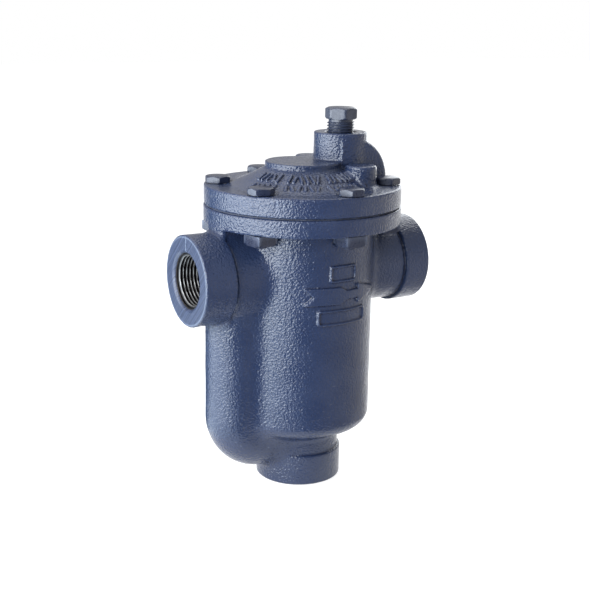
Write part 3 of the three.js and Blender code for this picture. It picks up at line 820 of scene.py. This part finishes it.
def cut_cap(block):
    def hollow(field, x, y, z):
        r = np.hypot(x, y)
        room = both(disc(r, z, CHAMBER_R, 130, 150.5, 3), 0.62 * (r - 26) + 0.78 * (z - 147), 2)
        seat_boss = disc(np.hypot(x - TEST_X, y), z, 9, 143.5, 160, 0.4)
        return cut(field, cut(room, seat_boss, 0.8), 0.4)

    block.change((-32, -32, CAP_BOTTOM_Z - 3), (32, 32, 153), hollow)

    def bores(field, x, y, z):
        r = np.hypot(x - TEST_X, y)
        seat = disc(r, z, 4.5, 130, 149.5, 0.1)
        drill = disc(r, z, 4.6, 149, 166, 0.1)
        thread = disc(r, z, PLUG_R + 0.35, 164, 200, 0.1)
        sink = r - (PLUG_R + 0.9 - (TEST_BOSS_TOP_Z - z))
        field = cut(cut(cut(field, seat), drill), thread)
        field = cut(field, np.maximum(sink, 170 - z), 0.2)
        for side in (-1, 1):
            pin = disc(np.hypot(x - 26, y - 5 * side), z, 1.4, 130, 149, 0.1)
            field = cut(field, pin)
        bend_x, bend_z, bend_r = OUTLET_PASSAGE_X - 10.5, 144.5, 10.5
        u, w = x - bend_x, z - bend_z
        elbow = np.where((u > 0) & (w > 0), np.abs(np.hypot(u, w) - bend_r), 1e3)
        down = np.hypot(x - OUTLET_PASSAGE_X, np.maximum(w, 0))
        over = np.hypot(w - bend_r, np.maximum(np.maximum(u, TEST_X - x), 0))
        away = np.minimum(np.minimum(elbow, down), over)
        return cut(field, np.hypot(away, y) - OUTLET_PASSAGE_R)

    block.change((10, -12, CAP_BOTTOM_Z - 3), (43, 12, TEST_BOSS_TOP_Z + 3), bores)

    for bx, by in bolt_places():
        def bolt_cut(field, x, y, z, bx=bx, by=by):
            r = np.hypot(x - bx, y - by)
            hole = disc(r, z, BOLT_HOLE_R, 130, 170, 0.1)
            spot = disc(r, z, 6.8, CAP_FLANGE_TOP_Z, 170, 0.6)
            return cut(cut(field, spot, 0.8), hole)
        block.change((bx - 9, by - 9, CAP_BOTTOM_Z - 3), (bx + 9, by + 9, 165), bolt_cut)


def cap_machined(points):
    under = points[:, 2] < CAP_BOTTOM_Z + 0.2
    top = points[:, 2] > TEST_BOSS_TOP_Z - 0.3
    return (under | top).astype(float)


def make_cap(paint, raw):
    mesh, points, quads = cast_mesh("trap_cap", cap_block(), cap_machined,
                                    cap_low, cap_high)
    mesh.materials.append(paint)
    mesh.materials.append(raw)
    middle = points[quads].mean(axis=1)
    r = np.hypot(middle[:, 0], middle[:, 1])
    test_r = np.hypot(middle[:, 0] - TEST_X, middle[:, 1])
    in_joint = (middle[:, 2] < CAP_BOTTOM_Z + 0.1) & (r < CAP_FLANGE_R - 1.2)
    inside = in_joint | ((r < CHAMBER_R + 0.4) & (
        middle[:, 2] < 151)) | ((test_r < PLUG_R + 0.5) & (middle[:, 2] < TEST_BOSS_TOP_Z - 0.6))
    mesh.polygons.foreach_set("material_index", inside.astype(np.int32))
    return link("trap_cap", mesh)


# ---- Fasteners, plug and pipe threads ---------------------------------------------------
def node_turn(node, sides):
    """The turn of a prism node about +Z, from the angle of its farthest corner."""
    co = np.array([v.co for v in nodes[node].data.vertices])[:, :2] / MM
    away = co - np.array(middle_of(node))
    distance = np.hypot(away[:, 0], away[:, 1])
    corner = away[distance > distance.max() - 0.02][0]
    return math.atan2(corner[1], corner[0]) % (2 * math.pi / sides)


def middle_of(node):
    low, high = box_mm(node)
    return (float(low[0] + high[0]) / 2, float(low[1] + high[1]) / 2)


def head_levels(bottom, top, edge):
    return [bottom, bottom + 0.12, bottom + 0.45, bottom + edge, (bottom + top) / 2,
            top - edge, top - 0.7 * edge, top - 0.4 * edge, top - 0.18 * edge, top - 0.04, top]


def make_bolt(index, paint):
    node = f"cap_bolt_{index}"
    low, high = box_mm(node)
    head_bottom = high[2] - BOLT_HEAD_HEIGHT
    corner = BOLT_FLATS / 2 / math.cos(math.pi / 6)

    def radius(angles, z):
        if z < head_bottom - 0.001:
            crest = 0.12 * math.sin(z * 2 * math.pi / BOLT_PITCH)
            return BOLT_SHANK_R + crest * (z < BOLT_THREAD_TOP_Z)
        prism = soft_prism_radius(angles, 6, BOLT_FLATS)
        top_limit = corner - 1.15 * max(0.0, (z - (high[2] - 0.9)) / 0.9) ** 1.4
        bottom_limit = corner - 0.35 * max(0.0, 1 - (z - head_bottom) / 0.35)
        return np.minimum(prism, min(top_limit, bottom_limit))

    shank = list(np.arange(low[2], BOLT_THREAD_TOP_Z, 0.25))
    shank += [BOLT_THREAD_TOP_Z + 0.2, head_bottom - 0.01]
    mesh = turned(f"bolt_{index}", shank + head_levels(head_bottom, high[2], 0.9), radius, 72,
                  middle_of(node), node_turn(node, 6))
    piece = link(f"bolt_{index}", mesh)
    mesh.materials.append(paint)
    keep_sharp(piece)
    return piece, node


def make_nut(index, paint):
    node = f"cap_nut_{index}"
    low, high = box_mm(node)
    corner = NUT_FLATS / 2 / math.cos(math.pi / 4)
    segments = 64
    levels = [high[2], low[2] + 1.1, low[2] + 0.8, low[2] + 0.5, low[2] + 0.25, low[2] + 0.05]
    angles = np.arange(segments) * 2 * math.pi / segments
    prism = soft_prism_radius(angles, 4, NUT_FLATS, 60)
    rings = []
    for z in levels:
        limit = corner - 1.7 * max(0.0, 1 - (z - low[2]) / 1.1) ** 1.3
        rings.append((np.minimum(prism, limit), z))
    for r, z in ((NUT_FLATS / 2 - 0.35, low[2]), (NUT_HOLE_R + 0.35, low[2]),
                 (NUT_HOLE_R, low[2] + 0.35), (NUT_HOLE_R, high[2])):
        rings.append((np.full(segments, r), z))
    cx, cy = middle_of(node)
    turn = node_turn(node, 4)
    points = [(cx + r * math.cos(a + turn), cy + r * math.sin(a + turn), z)
              for radii, z in rings for r, a in zip(radii, angles)]
    faces = np.array(ring_grid(len(rings), segments, True))[:, ::-1]
    mesh = mesh_of(f"nut_{index}", points, faces)
    mesh.materials.append(paint)
    piece = link(f"nut_{index}", mesh)
    keep_sharp(piece)
    return piece, node


def make_plug(paint):
    centre = middle_of("test_plug")
    bottom, top = plug_low[2], plug_high[2]
    head_bottom = top - PLUG_HEAD_HEIGHT
    corner = PLUG_FLATS / 2 / math.cos(math.pi / 6)
    root = PLUG_R - 0.85
    neck_z = head_bottom - 1.3

    def radius(angles, z):
        if z < head_bottom - 0.001:
            if z > neck_z:
                return root + 0.1
            phase = (z / PLUG_PITCH - angles / (2 * math.pi)) % 1
            tooth = np.clip(1.25 - np.abs(phase - 0.5) * 2.9, 0, 1)
            fade = min(1.0, max(0.0, (z - bottom) / 1.2))
            return root + (PLUG_R - root) * tooth * fade
        prism = soft_prism_radius(angles, 6, PLUG_FLATS)
        top_limit = corner - 1.9 * max(0.0, (z - (top - 1.1)) / 1.1) ** 1.3
        bottom_limit = corner - 0.9 * max(0.0, 1 - (z - head_bottom) / 0.6)
        return np.minimum(prism, min(top_limit, bottom_limit))

    thread = list(np.arange(bottom, neck_z, 0.11)) + [neck_z + 0.05, head_bottom - 0.01]
    levels = thread + [head_bottom, head_bottom + 0.2, head_bottom + 0.6, head_bottom + 1.2,
                       top - 1.1, top - 0.85, top - 0.6, top - 0.35, top - 0.15, top - 0.04, top]
    mesh = turned("plug", levels, radius, 96, centre, node_turn("test_plug", 6))
    piece = link("plug", mesh)
    mesh.materials.append(paint)
    keep_sharp(piece)
    return piece


def make_pipe_thread(name, side, iron):
    """A sleeve with the pipe's helical thread on its inside, in the port's bore."""
    segments = 96
    start, end = SLEEVE_BACK_X + 0.4, FACE_X - 1.7
    angles = np.arange(segments) * 2 * math.pi / segments
    rings = []
    for x in np.arange(start, end, 0.14):
        phase = (x / PIPE_PITCH - angles / (2 * math.pi)) % 1
        tooth = np.clip(1.1 - np.abs(phase - 0.5) * 3.2, 0, 1)
        fade = min(1.0, (x - start) / 3, (end - x) / 0.8)
        rings.append((PIPE_MAJOR_R - (PIPE_MAJOR_R - PIPE_MINOR_R) * tooth * max(fade, 0), x))
    rings.append((np.full(segments, PIPE_MAJOR_R), end))
    rings.append((np.full(segments, SLEEVE_R), end))
    rings.append((np.full(segments, SLEEVE_R), start))
    points = [(side * x, r * math.cos(a), PORT_Z + r * math.sin(a))
              for radii, x in rings for r, a in zip(radii, angles)]
    faces = np.array(ring_grid(len(rings), segments, True))
    if side > 0:
        faces = faces[:, ::-1]
    mesh = mesh_of(name, points, faces)
    mesh.materials.append(iron)
    piece = link(name, mesh)
    keep_sharp(piece, 40)
    return piece


# ---- Inner parts ----------------------------------------------------------------------
def quarter(centre_r, centre_z, radius, first, last, steps=8):
    angles = np.radians(np.linspace(first, last, steps))
    return [(centre_r + radius * math.cos(a), centre_z + radius * math.sin(a)) for a in angles]


def make_bucket(steel):
    low, high = box_mm("bucket")
    radius, bottom, top = float(high[0]), float(low[2]), float(high[2])
    wall = 1.2
    inner = radius - wall
    profile = ([(inner, bottom + 1.4), (inner + 0.1, bottom + 0.3), (inner + 0.5, bottom),
                (radius - 0.3, bottom), (radius, bottom + 0.4)]
               + [(radius, z) for z in np.linspace(bottom + 4, top - 8, 8)]
               + quarter(radius - 4, top - 4, 4, 0, 90) + [(12, top), (0.8, top)]
               + [(0.8, top - wall), (12, top - wall)]
               + quarter(inner - 4 + wall, top - 4, 4 - wall, 90, 0)
               + [(inner, z) for z in np.linspace(top - 8, bottom + 4, 8)])
    mesh = revolved("float_bucket", profile, 96)
    mesh.materials.append(steel)
    piece = link("float_bucket", mesh)
    keep_sharp(piece, 50)
    return piece


def make_tube(steel):
    low, high = box_mm("inlet_tube")
    radius, bottom, top = float(high[0]), float(low[2]), float(high[2])
    bore = radius - 1.2
    mesh = revolved("riser_tube", [(bore, bottom), (radius - 0.2, bottom), (radius, bottom + 0.3),
                                   (radius, top - 0.4), (radius - 0.3, top), (bore + 0.3, top),
                                   (bore, top - 0.4)], 64)
    mesh.materials.append(steel)
    piece = link("riser_tube", mesh)
    keep_sharp(piece, 50)
    return piece


def dress_inner_nodes(steel, dull):
    """The plain turned and cut parts keep their CAD shape."""
    for name in ("valve_seat", "valve_lever", "valve", "guide_pin_1", "guide_pin_2",
                 "bucket_clip"):
        mesh = nodes[name].data
        mesh.materials.clear()
        mesh.materials.append(dull if name == "valve_lever" else steel)


# ---- Camera, light and floor ------------------------------------------------------------
CAMERA_LENS_MM = 66.60
CAMERA_EYE = Vector((-0.29777, -0.43947, 0.23230))
CAMERA_BACK = Vector((-0.53850, -0.80385, 0.25267))
CAMERA_RIGHT = Vector((0.83302, -0.55301, 0.01603))
CAMERA_TURN = math.radians(2.4)  # about the object's axis

# Softboxes: name, azimuth in degrees, distance, height, width, length, radiance, colour
COOL = (0.92, 0.96, 1.0)
WHITE = (1, 1, 1)
SOFTBOXES = (
    ("softbox_left", -161.6, 0.52, 0.26, 0.48, 0.60, 7.0, COOL),
    ("softbox_back_left", -203.6, 0.52, 0.26, 0.30, 0.60, 4.0, COOL),
    ("softbox_top", 58, 0.30, 0.80, 0.8, 0.8, 1.3, WHITE),
    ("softbox_right", 34, 0.62, 0.30, 0.36, 0.44, 2.6, COOL),
)

# Cards seen in reflections: name, first and last azimuth in degrees, radiance, colour
SKY = (0.78, 0.90, 1.0)
WARM = (1.0, 0.97, 0.95)
CARDS = (
    ("card_side", -272, -226, 0.40, (0.55, 0.75, 1.0)),
    ("card_bright", -226, -158, 5.2, SKY),
    ("card_soft", -158, -142, 3.6, SKY),
    ("card_softer", -142, -128, 1.3, SKY),
    ("card_dark", -128, -100, 0.10, (0.93, 0.95, 1.0)),
    ("card_shade", -100, -76, 0.35, (1.0, 0.94, 0.92)),
    ("card_grey", -76, -42, 0.75, WARM),
    ("card_pale", -42, 12, 1.1, WARM),
)
CARD_RINGS = ((0.075, 0.0), (0.9, 0.0), (0.95, 0.22))  # distance and height, in metres
CARD_NEAR_SHARE = 0.62  # how bright a card is next to the object
LIGHT_TARGET = Vector((0, 0, 0.09))
FLOOR_HALF = 4.0
FLOOR_DROP = 0.0004
FLOOR_GLOW = 0.80
ROOM_COLOUR, ROOM_STRENGTH = (0.97, 0.97, 1.0, 1), 0.55


def make_camera():
    data = bpy.data.cameras.new("camera")
    data.sensor_width = 36
    data.lens = CAMERA_LENS_MM
    data.clip_start = 0.01
    camera = bpy.data.objects.new("camera", data)
    up = CAMERA_BACK.cross(CAMERA_RIGHT)
    aimed = Matrix((CAMERA_RIGHT, up, CAMERA_BACK)).transposed().to_4x4()
    turn = Matrix.Rotation(CAMERA_TURN, 4, "Z")
    camera.matrix_world = turn @ Matrix.Translation(CAMERA_EYE) @ aimed
    bpy.context.scene.collection.objects.link(camera)
    bpy.context.scene.camera = camera


def polar(azimuth, distance, height):
    a = math.radians(azimuth)
    return Vector((distance * math.cos(a), distance * math.sin(a), height))


def panel_light(name, azimuth, distance, height, width, tall, radiance, colour):
    data = bpy.data.lights.new(name, "AREA")
    data.shape = "RECTANGLE"
    data.size, data.size_y = width, tall
    data.energy = radiance * math.pi * width * tall
    data.color = colour
    lamp = bpy.data.objects.new(name, data)
    lamp.location = polar(azimuth, distance, height)
    aim = LIGHT_TARGET - lamp.location
    lamp.rotation_euler = aim.to_track_quat("-Z", "Y").to_euler()
    lamp.visible_camera = False
    bpy.context.scene.collection.objects.link(lamp)


def reflected_card(name, first, last, radiance, colour):
    """A card round the object, on the floor and up at the back, of one even brightness. It
    is seen only in reflections, and lights nothing."""
    steps = 12
    points = [tuple(polar(first + (last - first) * i / steps, distance, z))
              for distance, z in CARD_RINGS for i in range(steps + 1)]
    faces = [(k * (steps + 1) + i, k * (steps + 1) + i + 1, (k + 1) * (steps + 1) + i + 1,
              (k + 1) * (steps + 1) + i) for k in (0, 1) for i in range(steps)]
    mesh = bpy.data.meshes.new(name)
    mesh.from_pydata(points, [], faces)
    look = Look(name)
    far = look.node("ShaderNodeVectorMath", operation="LENGTH")
    look.put(far.inputs[0], look.place)
    strength = look.spread(far.outputs["Value"], 0.12, 0.5, CARD_NEAR_SHARE * radiance,
                           radiance)
    look.done((0, 0, 0), 1.0, Specular_IOR_Level=0.0, Emission_Color=colour,
              Emission_Strength=strength)
    mesh.materials.append(look.material)
    card = link(name, mesh)
    card.visible_camera = False
    card.visible_diffuse = False
    card.visible_shadow = False
    card.visible_transmission = False


def make_stage():
    mesh = bpy.data.meshes.new("floor")
    corner_signs = ((-1, -1), (1, -1), (1, 1), (-1, 1))
    mesh.from_pydata([(FLOOR_HALF * i, FLOOR_HALF * j, 0) for i, j in corner_signs], [],
                     [(0, 1, 2, 3)])
    look = Look("floor_paper")
    look.done(look.mixed(look.noise(3, 2), (0.44, 0.44, 0.44), (0.46, 0.46, 0.46)), 0.9,
              Emission_Color=WHITE, Emission_Strength=FLOOR_GLOW)
    mesh.materials.append(look.material)
    floor = link("floor", mesh)
    floor.location.z = -FLOOR_DROP

    world = bpy.data.worlds.new("studio")
    world.use_nodes = True
    tree = world.node_tree
    room = tree.nodes["Background"]
    room.inputs["Color"].default_value = ROOM_COLOUR
    room.inputs["Strength"].default_value = ROOM_STRENGTH
    paper = tree.nodes.new("ShaderNodeBackground")
    paper.inputs["Color"].default_value = (1, 1, 1, 1)
    seen = tree.nodes.new("ShaderNodeLightPath")
    choice = tree.nodes.new("ShaderNodeMixShader")
    tree.links.new(seen.outputs["Is Camera Ray"], choice.inputs[0])
    tree.links.new(room.outputs[0], choice.inputs[1])
    tree.links.new(paper.outputs[0], choice.inputs[2])
    tree.links.new(choice.outputs[0], tree.nodes["World Output"].inputs["Surface"])
    bpy.context.scene.world = world
    bpy.context.scene.view_settings.view_transform = "Standard"

    for softbox in SOFTBOXES:
        panel_light(*softbox)
    for card in CARDS:
        reflected_card(*card)


# ---- Assembly -------------------------------------------------------------------------
def place(piece, body, slot, *replaced):
    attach(piece, body)
    if replaced:
        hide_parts(*replaced)


def main():
    make_camera()
    make_stage()
    casting = cast_paint()
    fastener = fastener_paint()
    raw = raw_iron()
    iron = cut_iron()
    steel = brushed_steel("brushed_steel", STEEL, 1, 1, 12)
    dull = brushed_steel("dull_steel", DULL_STEEL, 12, 1, 1)

    place(make_body(casting, machined_paint(), raw), "root", "casting_paint", "body")
    place(make_cap(casting, raw), "root", "casting_paint", "cap")
    nodes["cap_gasket"].data.materials.clear()
    nodes["cap_gasket"].data.materials.append(graphite())
    for i in range(1, 7):
        bolt, node = make_bolt(i, fastener)
        place(bolt, "root", "fastener_paint", node)
        nut, node = make_nut(i, fastener)
        place(nut, "root", "fastener_paint", node)
    place(make_plug(plug_paint()), "plug", "plug_paint", "test_plug")
    place(make_pipe_thread("inlet_thread", -1, iron), "root", "casting_paint")
    place(make_pipe_thread("outlet_thread", 1, iron), "root", "casting_paint")
    place(make_bucket(steel), "float_bucket", "stainless", "bucket")
    place(make_tube(dull), "root", "inlet_tube_steel", "inlet_tube")
    dress_inner_nodes(steel, dull)


main()


def corners(pair):
    return [[float(c) for c in corner] for corner in pair]
